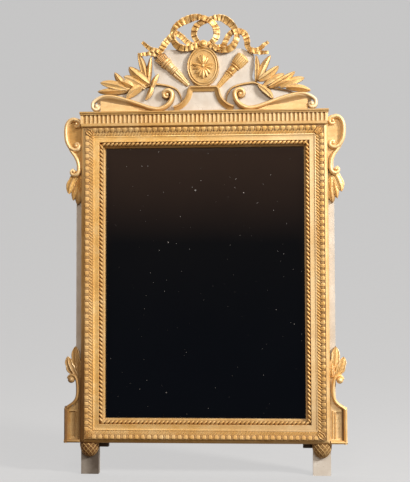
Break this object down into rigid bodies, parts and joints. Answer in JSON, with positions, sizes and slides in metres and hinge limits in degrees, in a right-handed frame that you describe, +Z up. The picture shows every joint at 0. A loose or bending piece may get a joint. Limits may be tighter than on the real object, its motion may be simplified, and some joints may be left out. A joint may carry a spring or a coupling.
{
  "type": "pediment wall mirror",
  "caption": "Upright wall mirror in a carved gilt frame with fluted frieze, side consoles, short feet and a pediment with ribbon bow, medallion, quiver, torch and laurel.",
  "frame": {"origin": "on the back face of the top rail, centred, on the line of the hanging rings", "axes": "+Z up, +Y into the wall, front of the glass towards -Y, +X to the viewer's right"},
  "size_m": [0.7242, 0.0716, 1.1813],
  "materials": {
    "gilding": "aged gold leaf over red-brown bole on carved wood",
    "cream_paint": "aged cream paint on wood",
    "bare_wood": "old bare softwood",
    "dark_wood": "dark stained wood",
    "mirror_glass": "old darkened mirror plate with specks",
    "iron": "dull wrought iron",
    "brass": "dull old brass"
  },
  "bodies": {
    "frame": {"back_board_left": "bare_wood", "back_board_middle": "bare_wood", "back_board_nails": "iron", "back_board_right": "bare_wood", "batten_screws": "iron", "bottom_moulding": "gilding", "bottom_rail": "bare_wood", "cornice_cap": "gilding", "frieze": "gilding", "glass_blocks": "bare_wood", "hanger_screws": "iron", "left_base_scroll": "gilding", "left_batten": "bare_wood", "left_bracket_board": "gilding", "left_bracket_edge": "gilding", "left_bracket_leaves": "gilding", "left_console_board": "gilding", "left_console_leaf": "gilding", "left_console_scroll": "gilding", "left_corner_block": "dark_wood", "left_foot_cone": "gilding", "left_hanger_plate": "brass", "left_laurel": "gilding", "left_moulding": "gilding", "left_ribbon_tail": "gilding", "left_stile": "cream_paint", "medallion": "gilding", "mirror_plate": "mirror_glass", "pediment_board": "cream_paint", "plinth_moulding": "gilding", "quiver": "gilding", "ribbon_boss": "gilding", "ribbon_bow": "gilding", "right_base_scroll": "gilding", "right_batten": "bare_wood", "right_bracket_board": "gilding", "right_bracket_edge": "gilding", "right_bracket_leaves": "gilding", "right_console_board": "gilding", "right_console_leaf": "gilding", "right_console_scroll": "gilding", "right_corner_block": "dark_wood", "right_foot_cone": "gilding", "right_hanger_plate": "brass", "right_laurel": "gilding", "right_moulding": "gilding", "right_ribbon_tail": "gilding", "right_stile": "cream_paint", "rosette": "gilding", "top_moulding": "gilding", "top_rail": "bare_wood", "torch": "gilding"},
    "left_ring": {"left_hanger_ring": "brass"},
    "right_ring": {"right_hanger_ring": "brass"}
  },
  "joints": [
    {"name": "left_ring_swing", "type": "hinge", "parent": "frame", "child": "left_ring", "pos_m": [-0.29975, 0.004, 0], "axis": [1, 0, 0], "range_deg": [0, 180]},
    {"name": "right_ring_swing", "type": "hinge", "parent": "frame", "child": "right_ring", "pos_m": [0.29975, 0.004, 0], "axis": [1, 0, 0], "range_deg": [0, 180]}
  ]
}
